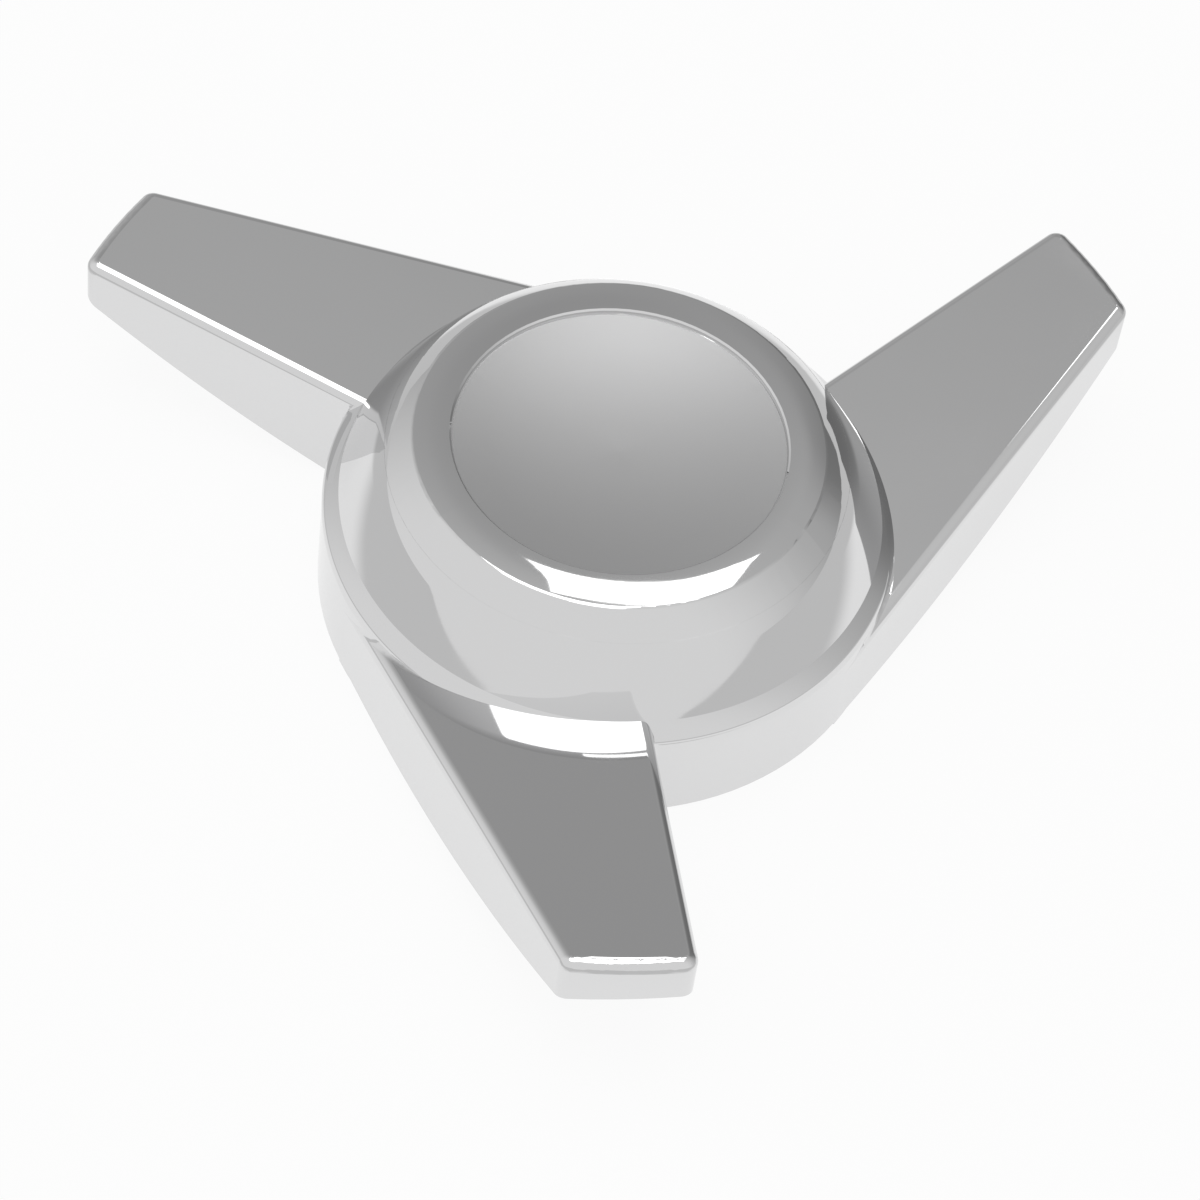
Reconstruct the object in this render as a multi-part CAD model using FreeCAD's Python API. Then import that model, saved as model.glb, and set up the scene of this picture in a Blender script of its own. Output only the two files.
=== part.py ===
import FreeCAD, Part
import math
import os

# A three-wing knock-off spinner for a wire wheel, made as one plated casting.
# The origin is on the thread's axis in the plane of the hub's rear face, with +Z towards the dome.
# The first wing points to -Y and the others follow at equal steps.
# A wing is drawn along +X, with its tangent side at -Y and its corner side at +Y.

V = FreeCAD.Vector

# Hub, outside
hub_radius = 49.5
crest_height = 20.9
edge_radius = 3.0
rear_chamfer = 0.6
valley_radius = 2.0
dome_start_slope = 34.0
land_radius = 35.2
land_drop = 0.65
land_crown = 0.16
land_edge_radius = 1.2
recess_radius = 28.6
rim_height = 39.15
rim_chamfer = 0.3
recess_depth = 1.0
dish_depth = 2.4

# Wings
wing_count = 3
first_wing_angle = -90.0
tip_reach = 100.1
tip_width = 21.7
tip_skew = 1.0
tip_height = 31.75
tip_bow = 0.6
tip_corner_radius = 2.5
wing_edge_radius = 1.8
corner_root_offset = 5.7
root_height = 23.0
top_lean = 1.6
under_start_height = 0.7
tangent_under_height = 21.6
tangent_under_sag = 5.6
corner_under_height = 23.0
corner_under_sag = 1.4

# Concave round between a wing's top and the hub
root_round_radius = 1.8

# Thread hole
thread_radius = 26.0
thread_length = 20.0
seat_radius = 29.5
seat_depth = 3.5
relief_depth = 1.0
relief_length = 3.0
crown_wall = 4.0
cap_radius = 24.0
cap_chamfer = 2.0

# Hollow ring round the thread boss
boss_wall = 5.5
ring_wall = 3.5
ring_skin = 4.0
ring_roof_drop = 8.0
ring_rib_count = 6
ring_rib_thickness = 3.0
first_ring_rib_angle = 0.0
rib_setback = 1.5

# Pockets under the wings
wing_wall = 3.0
wing_skin = 3.2
wing_rib_thickness = 2.4
pocket_corner_radius = 1.5

# Room beyond the part for the tools that cut it, and steps of the drawn surfaces
overhang = 12.0
under_station_count = 10
match = 1e-4


# Drawing helpers
def polar(radius, angle, height=0.0):
    turn = math.radians(angle)
    return V(radius * math.cos(turn), radius * math.sin(turn), height)


def slope_vector(slope):
    return V(math.sin(math.radians(slope)), 0, math.cos(math.radians(slope)))


def line(start, end):
    return Part.LineSegment(start, end).toShape()


def arc(start, middle, end):
    return Part.Arc(start, middle, end).toShape()


def arc_about(centre, start, end):
    middle = (start + end) * 0.5 - centre
    middle.normalize()
    return arc(start, centre + middle * (start - centre).Length, end)


# A flat arc whose middle stands out by bow, to the right of the travel from start to end
def bowed(start, end, bow):
    side = V(end.y - start.y, start.x - end.x, 0)
    side.normalize()
    return arc(start, (start + end) * 0.5 + side * bow, end)


def towards(start, target, distance):
    travel = target - start
    travel.normalize()
    return start + travel * distance


# Where circles about two centres in the radial plane cross, to the right of the travel between them
def crossing(first, first_radius, second, second_radius):
    travel = second - first
    along = (travel.Length ** 2 + first_radius ** 2 - second_radius ** 2) / (2 * travel.Length)
    aside = math.sqrt(first_radius ** 2 - along ** 2)
    side = V(travel.z, 0, -travel.x)
    return first + travel * (along / travel.Length) + side * (aside / travel.Length)


def outline(points):
    ends = points[1:] + points[:1]
    return [line(start, end) for start, end in zip(points, ends)]


def revolved(edges, turn=360.0):
    return Part.Face(Part.Wire(edges)).revolve(V(0, 0, 0), V(0, 0, 1), turn)


def upright_edges(shape):
    found = []
    for edge in shape.Edges:
        ends = [vertex.Point for vertex in edge.Vertexes]
        if len(ends) == 2 and math.hypot(ends[0].x - ends[1].x, ends[0].y - ends[1].y) < match:
            found.append(edge)
    return found


def around(shape, count, start):
    copies = []
    for index in range(count):
        copy = shape.copy()
        copy.rotate(V(0, 0, 0), V(0, 0, 1), start + 360.0 * index / count)
        copies.append(copy)
    return copies


# Hub, outside, in the radial plane: the dome, the valley and the rounded crest run into each other
def land_height():
    return rim_height - land_drop


def valley_centre():
    return V(hub_radius - edge_radius, 0, crest_height + valley_radius)


def dome_radius():
    valley = valley_centre()
    rise = land_height() - valley.z
    reach = valley.x - land_radius
    start = slope_vector(dome_start_slope)
    lean = valley_radius + rise * start.z - reach * start.x
    return (rise ** 2 + reach ** 2 - valley_radius ** 2) / (2 * lean)


def dome_centre():
    return V(land_radius, 0, land_height()) - slope_vector(dome_start_slope) * dome_radius()


def land_bend():
    edge = V(land_radius, 0, land_height())
    rim = V(recess_radius, 0, rim_height)
    travel = rim - edge
    radius = (travel.Length ** 2 / 4 + land_crown ** 2) / (2 * land_crown)
    inward = V(-travel.z, 0, travel.x)
    inward.normalize()
    return (edge + rim) * 0.5 + inward * (radius - land_crown), radius


def dish_arc(edge_point, middle_point):
    radius = (recess_radius ** 2 + dish_depth ** 2) / (2 * dish_depth)
    return arc_about(middle_point + V(0, 0, radius), edge_point, middle_point)


def hub_profile():
    dome, valley = dome_centre(), valley_centre()
    land, bend_radius = land_bend()
    rear_corner = V(hub_radius - rear_chamfer, 0, 0)
    wall_foot = V(hub_radius, 0, rear_chamfer)
    wall_top = V(hub_radius, 0, crest_height - edge_radius)
    crest = V(valley.x, 0, crest_height)
    dome_foot = towards(dome, valley, dome_radius())
    edge_round = crossing(land, bend_radius - land_edge_radius, dome, dome_radius() - land_edge_radius)
    dome_top = towards(dome, edge_round, dome_radius())
    land_start = towards(land, edge_round, bend_radius)
    land_reach = recess_radius + rim_chamfer - land.x
    land_end = land + V(land_reach, 0, math.sqrt(bend_radius ** 2 - land_reach ** 2))
    rim_inside = V(recess_radius, 0, land_end.z - rim_chamfer)
    floor_edge = V(recess_radius, 0, rim_height - recess_depth)
    floor_middle = floor_edge - V(recess_radius, 0, dish_depth)
    return [
        line(V(0, 0, 0), rear_corner),
        line(rear_corner, wall_foot),
        line(wall_foot, wall_top),
        arc_about(V(crest.x, 0, wall_top.z), wall_top, crest),
        arc_about(valley, crest, dome_foot),
        arc_about(dome, dome_foot, dome_top),
        arc_about(edge_round, dome_top, land_start),
        arc_about(land, land_start, land_end),
        line(land_end, rim_inside),
        line(rim_inside, floor_edge),
        dish_arc(floor_edge, floor_middle),
        line(floor_middle, V(0, 0, 0)),
    ]


# A wing's share of the hub, with a seam along the wing
def hub_share():
    half_turn = 180.0 / wing_count
    half = revolved(hub_profile(), half_turn)
    other = half.copy()
    other.rotate(V(0, 0, 0), V(0, 0, 1), -half_turn)
    return half.fuse(other)


# Wing outline, seen from the front
def tip_corners():
    half = polar(tip_width / 2, 90 + tip_skew)
    return V(tip_reach, 0, 0) - half, V(tip_reach, 0, 0) + half


def root_points():
    tangent_tip = tip_corners()[0]
    tip_angle = math.degrees(math.atan2(tangent_tip.y, tangent_tip.x))
    turn = math.degrees(math.acos(hub_radius / tangent_tip.Length))
    tangent_root = polar(hub_radius, tip_angle - turn)
    corner_root = V(math.sqrt(hub_radius ** 2 - corner_root_offset ** 2), corner_root_offset, 0)
    return tangent_root, corner_root


def tangent_angle():
    root = root_points()[0]
    return math.degrees(math.atan2(root.y, root.x))


def wing_outline():
    tangent_root, corner_root = root_points()
    tangent_tip, corner_tip = tip_corners()
    inward = corner_root - corner_tip
    inward.normalize()
    inner_corner = corner_root + inward * overhang
    inner_tangent = tangent_root * (1 - overhang / hub_radius)
    wire = Part.Wire([
        line(tangent_root, tangent_tip),
        bowed(tangent_tip, corner_tip, tip_bow),
        line(corner_tip, inner_corner),
        line(inner_corner, inner_tangent),
        line(inner_tangent, tangent_root),
    ])
    return Part.Face(wire)


def wing_prism():
    prism = wing_outline().extrude(V(0, 0, rim_height + overhang))
    tips = []
    for edge in upright_edges(prism):
        foot = edge.Vertexes[0].Point
        if min(math.hypot(foot.x - tip.x, foot.y - tip.y) for tip in tip_corners()) < match:
            tips.append(edge)
    return prism.makeFillet(tip_corner_radius, tips)


# Wing top: a plane
def plane_height(point):
    along = (tip_height - root_height) / (tip_reach - hub_radius)
    across = math.tan(math.radians(top_lean))
    return root_height + along * (point.x - hub_radius) + across * point.y


# Everything below the top's plane, or below it by a depth
def below_top(depth):
    far = tip_reach + overhang
    corners = [V(-far, -far, 0), V(far, -far, 0), V(far, far, 0), V(-far, far, 0)]
    for corner in corners:
        corner.z = plane_height(corner) - depth
    return Part.Face(Part.Wire(outline(corners))).extrude(V(0, 0, -tip_height - far))


# Wing underside: a sheet ruled between a curve on each side
def under_height(tip_under_height, sag, share):
    rise = (tip_under_height - under_start_height) * share
    return under_start_height + rise - 4 * sag * share * (1 - share)


def smooth_curve(points):
    curve = Part.BSplineCurve()
    curve.interpolate(points)
    return curve.toShape()


def under_sheet():
    tangent_root, corner_root = root_points()
    tangent_tip, corner_tip = tip_corners()
    tangent_points = []
    corner_points = []
    for index in range(under_station_count + 1):
        share = index / (under_station_count - 1)
        tangent = tangent_root + (tangent_tip - tangent_root) * share
        corner = corner_root + (corner_tip - corner_root) * share
        tangent.z = under_height(tangent_under_height, tangent_under_sag, share)
        corner.z = under_height(corner_under_height, corner_under_sag, share)
        outward = tangent - corner
        outward.normalize()
        tangent_points.append(tangent + outward * overhang)
        corner_points.append(corner - outward * overhang)
    return Part.makeRuledSurface(smooth_curve(tangent_points), smooth_curve(corner_points))


# Wing and its share of the hub
def wing_sides(prism):
    faces = []
    for face in prism.Faces:
        centre = face.CenterOfMass
        normal = face.normalAt(*face.Surface.parameter(centre))
        faces_hub = normal.x * centre.x + normal.y * centre.y < 0
        inner = faces_hub or math.hypot(centre.x, centre.y) < hub_radius
        if abs(normal.z) < match and not inner:
            faces.append(face)
    return Part.makeCompound(faces)


def top_edges(blank, prism):
    sides = wing_sides(prism)
    found = []
    for edge in blank.Edges:
        half_way = (edge.FirstParameter + edge.LastParameter) / 2
        middle = edge.valueAt(half_way)
        upright = abs(edge.tangentAt(half_way).z) > 1 - match
        on_side = sides.distToShape(Part.Vertex(middle))[0] < match
        if on_side and not upright and middle.z > crest_height / 2:
            found.append(edge)
    return found


def root_edges(share):
    found = []
    for face in share.Faces:
        centre = face.CenterOfMass
        if not isinstance(face.Surface, Part.Plane) or min(centre.x, centre.z - crest_height) < 0:
            continue
        for edge in face.Edges:
            middle = edge.valueAt((edge.FirstParameter + edge.LastParameter) / 2)
            if math.hypot(middle.x, middle.y) < hub_radius:
                found.append(edge)
    return found


def wing_share():
    prism = wing_prism()
    wing = prism.common(below_top(0))
    wing = wing.makeFillet(wing_edge_radius, top_edges(wing, prism))
    share = hub_share().fuse(wing)
    share = share.makeFillet(root_round_radius, root_edges(share))
    height = tip_height + overhang
    under = under_sheet().extrude(V(0, 0, -height))
    return share.cut(under.cut(Part.makeCylinder(hub_radius, 2 * height, V(0, 0, -height))))


# Thread hole, from the seat at the rear face to the blind end
def thread_hole():
    thread_end = seat_depth + thread_length
    relief_end = thread_end + relief_length
    relief_radius = thread_radius + relief_depth
    blind_end = rim_height - recess_depth - dish_depth - crown_wall
    chamfer = min(cap_chamfer, (blind_end - relief_end) / 2)
    return revolved(outline([
        V(0, 0, -overhang),
        V(seat_radius, 0, -overhang),
        V(seat_radius, 0, 0),
        V(thread_radius, 0, seat_depth),
        V(thread_radius, 0, thread_end),
        V(relief_radius, 0, thread_end),
        V(relief_radius, 0, relief_end),
        V(cap_radius, 0, relief_end),
        V(cap_radius, 0, blind_end - chamfer),
        V(cap_radius - chamfer, 0, blind_end),
        V(0, 0, blind_end),
    ]))


# Hollow ring under the crest and the dome, divided by radial ribs
def ring_hollow():
    inner = thread_radius + boss_wall
    outer = hub_radius - ring_wall
    hollow = revolved(outline([
        V(inner, 0, -overhang),
        V(inner, 0, land_height() - ring_roof_drop),
        V(outer, 0, crest_height - ring_skin),
        V(outer, 0, -overhang),
    ]))
    rib = Part.makeBox(hub_radius, ring_rib_thickness, rim_height, V(0, -ring_rib_thickness / 2, rib_setback))
    return hollow.cut(around(rib, ring_rib_count, first_ring_rib_angle))


# Pocket under a wing, in two halves with a rib between them
def wing_pocket():
    tangent_root, corner_root = root_points()
    prism = wing_outline().makeOffset2D(-wing_wall).extrude(V(0, 0, rim_height))
    prism = prism.cut(Part.makeCylinder(hub_radius, rim_height))
    root_middle = (tangent_root + corner_root) * 0.5
    travel = V(tip_reach, 0, 0) - root_middle
    rib = Part.makeBox(travel.Length, wing_rib_thickness, rim_height, V(0, -wing_rib_thickness / 2, 0))
    rib.rotate(V(0, 0, 0), V(0, 0, 1), math.degrees(math.atan2(travel.y, travel.x)))
    rib.translate(root_middle)
    halves = []
    for half in prism.cut(rib).Solids:
        half = half.makeFillet(pocket_corner_radius, upright_edges(half))
        half.translate(V(0, 0, -match))
        halves.append(half.common(below_top(wing_skin)))
    return Part.makeCompound(halves)


# Casting
def casting():
    shares = around(wing_share(), wing_count, first_wing_angle)
    hollows = [thread_hole(), ring_hollow()] + around(wing_pocket(), wing_count, first_wing_angle)
    return shares[0].fuse(shares[1:]).cut(hollows)


os.makedirs("parts", exist_ok=True)
casting().exportStep("parts/spinner_casting.step")
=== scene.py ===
import math

import bmesh
import bpy
from mathutils import Matrix, Vector


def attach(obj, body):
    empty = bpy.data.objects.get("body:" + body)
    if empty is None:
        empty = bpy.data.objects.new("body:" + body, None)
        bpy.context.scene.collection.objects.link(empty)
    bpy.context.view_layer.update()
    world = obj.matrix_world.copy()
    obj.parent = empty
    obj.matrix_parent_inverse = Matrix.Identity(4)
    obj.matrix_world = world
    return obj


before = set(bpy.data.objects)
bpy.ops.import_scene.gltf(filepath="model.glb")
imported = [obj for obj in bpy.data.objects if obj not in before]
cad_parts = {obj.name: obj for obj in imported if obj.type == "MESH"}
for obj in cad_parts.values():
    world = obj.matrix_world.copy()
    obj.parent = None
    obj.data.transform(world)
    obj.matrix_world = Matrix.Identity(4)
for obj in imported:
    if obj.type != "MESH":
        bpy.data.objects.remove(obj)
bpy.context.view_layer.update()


# Shader maths: a wired socket that takes Python's arithmetic
class Wire:
    def __init__(self, tree, socket):
        self.tree = tree
        self.socket = socket

    def maths(self, operation, *values):
        node = self.tree.add("ShaderNodeMath", {"operation": operation}, dict(enumerate(values)))
        return self.tree.out(node)

    def __add__(self, other):
        return self.maths("ADD", self, other)

    def __radd__(self, other):
        return self.maths("ADD", other, self)

    def __sub__(self, other):
        return self.maths("SUBTRACT", self, other)

    def __rsub__(self, other):
        return self.maths("SUBTRACT", other, self)

    def __mul__(self, other):
        return self.maths("MULTIPLY", self, other)

    def __rmul__(self, other):
        return self.maths("MULTIPLY", other, self)

    def __pow__(self, other):
        return self.maths("POWER", self, other)

    def above(self, edge, softness):
        return self.tree.ramp(self, edge - softness / 2, edge + softness / 2)

    def below(self, edge, softness):
        return 1 - self.above(edge, softness)


# Node tree of a material or a world
class Tree:
    def __init__(self, owner):
        owner.use_nodes = True
        self.nodes = owner.node_tree.nodes
        self.links = owner.node_tree.links
        self.nodes.clear()

    def add(self, kind, settings=None, sockets=None):
        node = self.nodes.new(kind)
        for name, value in (settings or {}).items():
            setattr(node, name, value)
        for name, value in (sockets or {}).items():
            if isinstance(value, Wire):
                self.links.new(value.socket, node.inputs[name])
            else:
                node.inputs[name].default_value = value
        return node

    def out(self, node, name=0):
        return Wire(self, node.outputs[name])

    def coordinates(self, kind):
        return self.out(self.add("ShaderNodeTexCoord"), kind)

    def axes(self, place):
        node = self.add("ShaderNodeSeparateXYZ", None, {0: place})
        return self.out(node, 0), self.out(node, 1), self.out(node, 2)

    def ramp(self, value, low, high, lowResult=0.0, highResult=1.0):
        node = self.add("ShaderNodeMapRange", {"interpolation_type": "SMOOTHSTEP"}, {
            "Value": value, "From Min": low, "From Max": high, "To Min": lowResult, "To Max": highResult})
        return self.out(node)

    def noise(self, place, scale, detail):
        node = self.add("ShaderNodeTexNoise", None, {"Vector": place, "Scale": scale, "Detail": detail})
        return self.out(node, "Fac")

    def colour(self, red, green, blue):
        return self.out(self.add("ShaderNodeCombineColor", None, {0: red, 1: green, 2: blue}))


def grey(level):
    return (level, level, level, 1.0)


# Object made from a bmesh and linked to the scene
def meshObject(mesh, name, material):
    data = bpy.data.meshes.new(name)
    mesh.to_mesh(data)
    mesh.free()
    data.materials.append(material)
    made = bpy.data.objects.new(name, data)
    bpy.context.scene.collection.objects.link(made)
    return made


# Camera, turned about the hub's axis; lengths in metres, angles in degrees, sensor in millimetres
camera = {
    "imageSize": 1200,
    "focalPixels": 4580.8,
    "sensor": 36.0,
    "nearest": 0.01,
    "farthest": 20,
    "distance": 0.7869,
    "elevation": 52.51,
    "azimuth": -7.90,
    "roll": 8.264,
    "aimHeight": 0.020,
    "aimRight": 0.00048,
    "aimUp": -0.01575,
}


def placeCamera():
    lens = bpy.data.cameras.new("camera")
    lens.sensor_width = camera["sensor"]
    lens.lens = camera["focalPixels"] / camera["imageSize"] * camera["sensor"]
    lens.clip_start = camera["nearest"]
    lens.clip_end = camera["farthest"]
    viewer = bpy.data.objects.new("camera", lens)
    bpy.context.scene.collection.objects.link(viewer)
    turn = Matrix.Rotation(math.radians(camera["azimuth"]), 4, "Z")
    tilt = Matrix.Rotation(math.radians(90 - camera["elevation"]), 4, "X")
    roll = Matrix.Rotation(math.radians(camera["roll"]), 4, "Z")
    offset = (turn @ tilt) @ Vector((camera["aimRight"], camera["aimUp"], camera["distance"]))
    place = Vector((0, 0, camera["aimHeight"])) + offset
    viewer.matrix_world = Matrix.Translation(place) @ turn @ tilt @ roll
    bpy.context.scene.camera = viewer
    print("camera placed")


# White paper under the part; in the metal's reflection it is white near the part and greyer farther off,
# which is painted shade
floor = {
    "half": 4.0,
    "colour": 0.86,
    "whiteInView": 0.92,
    "whiteInMetal": 0.80,
    "fadeStart": 0.115,
    "fadeEnd": 0.155,
    "farLevel": 0.62,
}


def makeFloor():
    material = bpy.data.materials.new("whitePaper")
    tree = Tree(material)
    path = tree.add("ShaderNodeLightPath")
    mirrored = tree.out(path, "Is Glossy Ray") + tree.out(path, "Is Transmission Ray")
    seen = tree.out(path, "Is Camera Ray") * floor["whiteInView"] + mirrored * floor["whiteInMetal"]
    x, y = tree.axes(tree.coordinates("Object"))[:2]
    distance = (x * x + y * y) ** 0.5
    # Painted shade: the paper darkens farther from the part, only where the metal mirrors it
    fade = tree.ramp(distance, floor["fadeStart"], floor["fadeEnd"], 0.0, 1 - floor["farLevel"])
    level = 1 - fade * mirrored
    paper = tree.add("ShaderNodeBsdfDiffuse", None, {"Color": grey(floor["colour"])})
    white = tree.add("ShaderNodeEmission", None, {
        "Color": tree.colour(level, level, level), "Strength": 1.0})
    mixed = tree.add("ShaderNodeMixShader", None, {
        0: seen, 1: tree.out(paper), 2: tree.out(white)})
    tree.add("ShaderNodeOutputMaterial", None, {"Surface": tree.out(mixed)})
    mesh = bmesh.new()
    bmesh.ops.create_grid(mesh, x_segments=1, y_segments=1, size=floor["half"])
    sheet = meshObject(mesh, "floor", material)
    print("floor laid")


# Room round the table: bright behind the camera, dim beyond the part and a little to the right
# The ceiling and the right corner are darker; each pair is an edge in the direction and its softness
room = {
    "brightLevel": 0.84,
    "dimLevel": 0.33,
    "dimAzimuth": 70,
    "dimStart": -0.40,
    "dimEnd": 1.15,
    "ceiling": {"drop": 0.13, "right": (0.05, 0.3), "away": (0.3, 0.5), "up": (0.6, 0.4)},
    "corner": {"drop": 0.16, "right": (0.2, 0.3), "away": (0.5, 0.3), "up": (0.74, 0.1)},
}


def makeRoom():
    world = bpy.data.worlds.new("room")
    bpy.context.scene.world = world
    tree = Tree(world)
    x, y, up = tree.axes(tree.coordinates("Generated"))
    turn = math.radians(camera["azimuth"])
    right = x * math.cos(turn) + y * math.sin(turn)
    away = y * math.cos(turn) - x * math.sin(turn)
    aim = math.radians(room["dimAzimuth"])
    facing = right * math.cos(aim) + away * math.sin(aim)
    level = tree.ramp(facing, room["dimStart"], room["dimEnd"], room["brightLevel"], room["dimLevel"])
    spot = room["ceiling"]
    ceiling = up.above(*spot["up"]) * away.above(*spot["away"]) * right.below(*spot["right"])
    level = level - ceiling * spot["drop"]
    spot = room["corner"]
    corner = right.above(*spot["right"]) * up.below(*spot["up"]) * away.above(*spot["away"])
    level = level - corner * spot["drop"]
    back = tree.add("ShaderNodeBackground", None, {
        "Color": tree.colour(level, level, level), "Strength": 1.0})
    tree.add("ShaderNodeOutputWorld", None, {"Surface": tree.out(back)})
    print("room set")


# Two soft panels overhead; centres and sizes run to the camera's right and away from it
panels = {
    "height": 6.0,
    "brightness": 1.5,
    "far": {"centre": (0.435, 2.845), "size": (1.77, 1.37), "turn": 0},
    "near": {"centre": (-0.54, -0.20), "size": (3.66, 3.76), "turn": -20},
}


def hangPanel(name, centre, size, turn):
    lamp = bpy.data.lights.new(name, "AREA")
    lamp.shape = "RECTANGLE"
    lamp.size, lamp.size_y = size
    lamp.energy = panels["brightness"] * math.pi * size[0] * size[1]
    panel = bpy.data.objects.new(name, lamp)
    bpy.context.scene.collection.objects.link(panel)
    view = Matrix.Rotation(math.radians(camera["azimuth"]), 4, "Z")
    place = Matrix.Translation((centre[0], centre[1], panels["height"]))
    panel.matrix_world = view @ place @ Matrix.Rotation(math.radians(turn), 4, "Z")
    print("panel hung:", name)


# Bright plating; on the floor of the badge recess it is satin and its colour is darkened as painted
# shade; thin over raw metal in the hollows behind
# A region's radius and height are pairs of an edge and its softness; lengths in metres
plating = {
    "colour": 0.745,
    "blueShare": 1.004,
    "roughness": 0.030,
    "smudges": {"scale": 38.0, "detail": 4.0, "edge": (0.56, 0.2), "roughness": 0.035},
    "waves": {"scale": 60.0, "detail": 1.0, "depth": 0.00002},
    "grain": {"scale": 1500.0, "detail": 3.0},
    # Recess floor: real satin roughness, plus a darker colour that is painted shade in the recess
    "satinAndShade": {
        "radius": (0.0284, 0.0003),
        "height": (0.034, 0.0002),
        "colour": 0.61,
        "roughness": 0.40,
        "grainDepth": 0.000004,
    },
    "raw": {
        "radius": (0.0478, 0.0006),
        "height": (0.0195, 0.001),
        "colour": 0.56,
        "roughness": 0.42,
        "grainDepth": 0.00006,
    },
}


def platingMaterial():
    material = bpy.data.materials.new("chromePlate")
    tree = Tree(material)
    place = tree.coordinates("Object")
    x, y, z = tree.axes(place)
    radius = (x * x + y * y) ** 0.5
    satinAndShade, raw, smudges, waves, grain = [
        plating[name] for name in ("satinAndShade", "raw", "smudges", "waves", "grain")]
    inSatinAndShade = radius.below(*satinAndShade["radius"]) * z.above(*satinAndShade["height"])
    inRaw = radius.below(*raw["radius"]) * z.below(*raw["height"])
    waviness = tree.noise(place, waves["scale"], waves["detail"])
    smudged = tree.noise(place, smudges["scale"], smudges["detail"]).above(*smudges["edge"])
    grains = tree.noise(place, grain["scale"], grain["detail"])
    grainDepth = inSatinAndShade * satinAndShade["grainDepth"] + inRaw * raw["grainDepth"]
    depth = waviness * waves["depth"] + grains * grainDepth
    polished = plating["roughness"] + smudged * smudges["roughness"]
    roughness = polished + inSatinAndShade * (satinAndShade["roughness"] - polished)
    roughness = roughness + inRaw * (raw["roughness"] - roughness)
    # Painted shade: the recess floor's colour is lowered below the plating's
    level = plating["colour"] + inSatinAndShade * (satinAndShade["colour"] - plating["colour"])
    level = level + inRaw * (raw["colour"] - level)
    bump = tree.add("ShaderNodeBump", None, {"Strength": 1.0, "Distance": 1.0, "Height": depth})
    metal = tree.add("ShaderNodeBsdfPrincipled", None, {
        "Base Color": tree.colour(level, level, level * plating["blueShare"]),
        "Metallic": 1.0,
        "Roughness": roughness,
        "Normal": tree.out(bump),
    })
    tree.add("ShaderNodeOutputMaterial", None, {"Surface": tree.out(metal)})
    return material


# Piece of the casting's own metal that only the scene draws
def addPiece(mesh, name, material):
    piece = meshObject(mesh, name, material)
    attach(piece, "root")
    print(name, "added:", len(piece.data.polygons), "faces")


# Thread inside the boss: a helical ridge that stands in from the bore's wall
thread = {
    "wallRadius": 0.02605,
    "crestRadius": 0.02430,
    "pitch": 0.003175,
    "crestWidth": 0.0005,
    "rootWidth": 0.0026,
    "start": 0.0045,
    "turns": 5.5,
    "stepsPerTurn": 72,
}


def makeThread(material):
    mesh = bmesh.new()
    rootHalf = thread["rootWidth"] / 2
    crestHalf = thread["crestWidth"] / 2
    corners = [
        (thread["wallRadius"], 0, thread["start"] - rootHalf),
        (thread["crestRadius"], 0, thread["start"] - crestHalf),
        (thread["crestRadius"], 0, thread["start"] + crestHalf),
        (thread["wallRadius"], 0, thread["start"] + rootHalf),
    ]
    profile = mesh.faces.new([mesh.verts.new(corner) for corner in corners])
    bmesh.ops.spin(
        mesh, geom=[profile] + profile.edges[:] + profile.verts[:], cent=(0, 0, 0), axis=(0, 0, 1),
        dvec=(0, 0, thread["pitch"] / thread["stepsPerTurn"]),
        angle=math.tau * thread["turns"], steps=round(thread["turns"] * thread["stepsPerTurn"]))
    bmesh.ops.recalc_face_normals(mesh, faces=mesh.faces[:])
    addPiece(mesh, "boss_thread", material)


# Lower dome: a skin from the casting's dome down to a sloping band round the crest
# Points are radius and height in metres; slopes are in degrees down from level
skirt = {
    "domeCentre": (0.02329, 0.02084),
    "domeRadius": 0.02131,
    "startSlope": 50.0,
    "coneSlope": 59.5,
    "bandTop": (0.0468, 0.0224),
    "bandSlope": 34.0,
    "bandFoot": (0.0491, 0.02045),
    "wallTop": (0.04953, 0.0196),
    "buried": [(0.0485, 0.0185), (0.0440, 0.0198), (0.0385, 0.0320)],
    "arcSteps": 12,
    "turnSteps": 240,
    "sharpAngle": 0.3,
}


# Direction straight out of a surface with this slope
def outward(slope):
    return Vector((math.sin(slope), math.cos(slope)))


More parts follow.
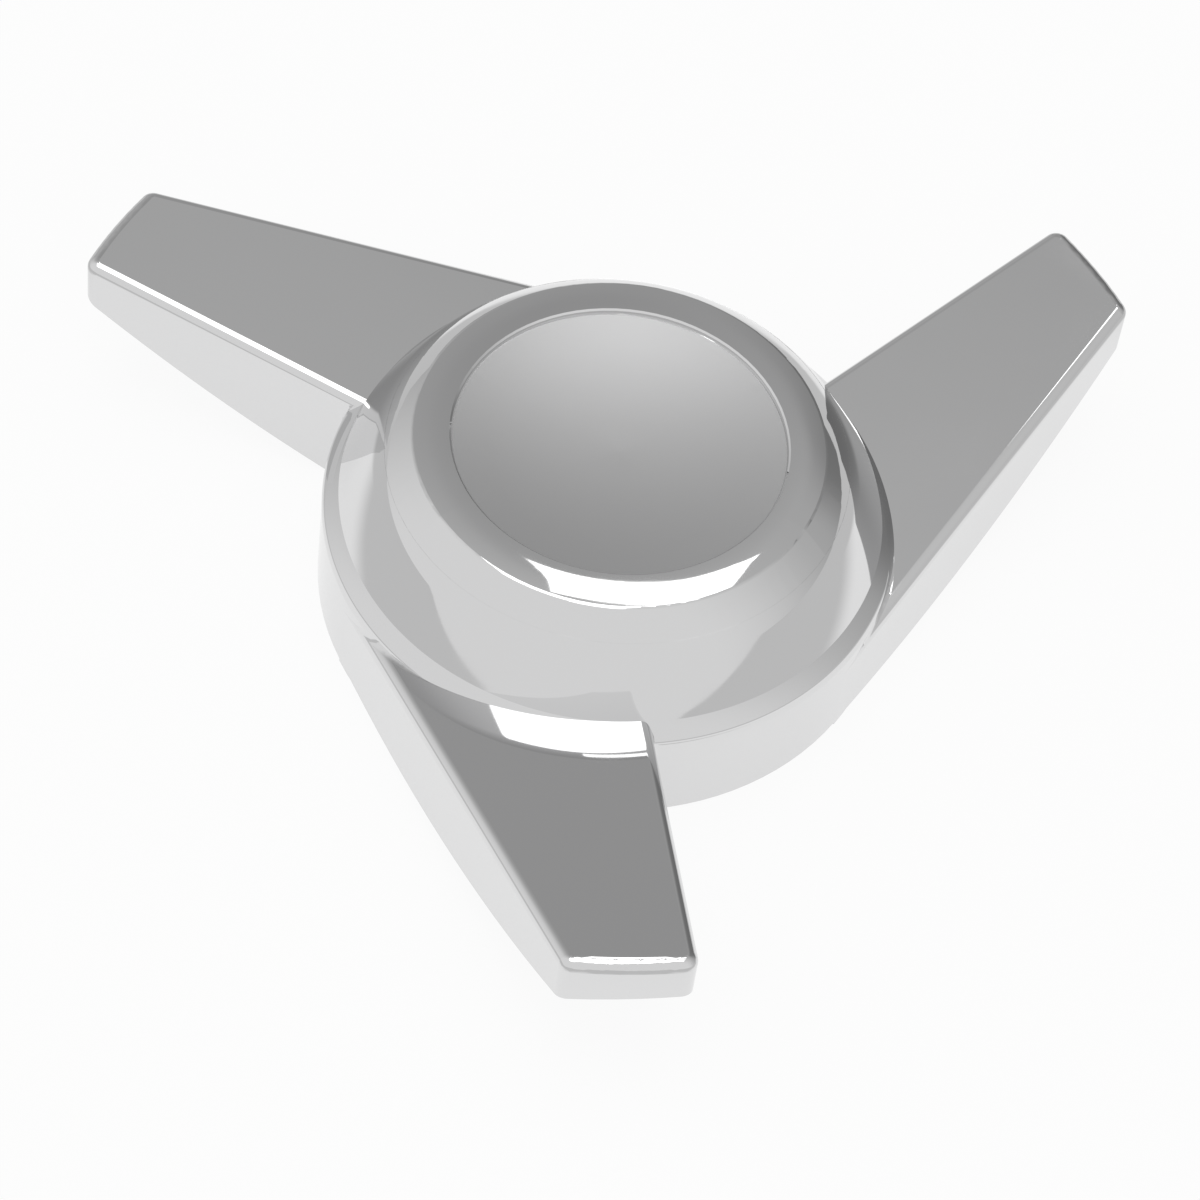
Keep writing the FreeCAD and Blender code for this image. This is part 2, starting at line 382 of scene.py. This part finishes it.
# Points of an arc that leaves its start at a slope, and the slope at its end
def slopeArc(start, end, startSlope):
    chord = end - start
    turn = 2 * (math.atan2(-chord.y, chord.x) - startSlope)
    radius = chord.length / (2 * math.sin(turn / 2))
    centre = start - outward(startSlope) * radius
    steps = skirt["arcSteps"]
    points = [centre + outward(startSlope + turn * step / steps) * radius for step in range(1, steps + 1)]
    return points, startSlope + turn


def skirtProfile():
    startSlope, coneSlope, bandSlope = [
        math.radians(skirt[name]) for name in ("startSlope", "coneSlope", "bandSlope")]
    bandTop, bandFoot, wallTop = [Vector(skirt[name]) for name in ("bandTop", "bandFoot", "wallTop")]
    centre = Vector(skirt["domeCentre"])
    start = centre + outward(startSlope) * skirt["domeRadius"]
    coneTop = centre + outward(coneSlope) * skirt["domeRadius"]
    upper, slope = slopeArc(start, coneTop, startSlope)
    cone, slope = slopeArc(coneTop, bandTop, slope)
    band, slope = slopeArc(bandTop, bandFoot, bandSlope)
    edge, slope = slopeArc(bandFoot, wallTop, slope)
    return [start] + upper + cone + band + edge + [Vector(corner) for corner in skirt["buried"]]


def makeSkirt(material):
    mesh = bmesh.new()
    verts = [mesh.verts.new((point.x, 0, point.y)) for point in skirtProfile()]
    edges = [mesh.edges.new((verts[index - 1], verts[index])) for index in range(len(verts))]
    bmesh.ops.spin(
        mesh, geom=verts + edges, cent=(0, 0, 0), axis=(0, 0, 1), dvec=(0, 0, 0),
        angle=math.tau, steps=skirt["turnSteps"], use_merge=True)
    bmesh.ops.recalc_face_normals(mesh, faces=mesh.faces[:])
    for face in mesh.faces:
        face.smooth = True
    for edge in mesh.edges:
        edge.smooth = edge.calc_face_angle() < skirt["sharpAngle"]
    addPiece(mesh, "lower_dome", material)


placeCamera()
makeFloor()
makeRoom()
hangPanel("farPanel", **panels["far"])
hangPanel("nearPanel", **panels["near"])
plate = platingMaterial()
casting = bpy.data.objects["spinner_casting"]
casting.data.materials.clear()
casting.data.materials.append(plate)
makeThread(plate)
makeSkirt(plate)

bpy.context.scene.view_settings.view_transform = "Standard"
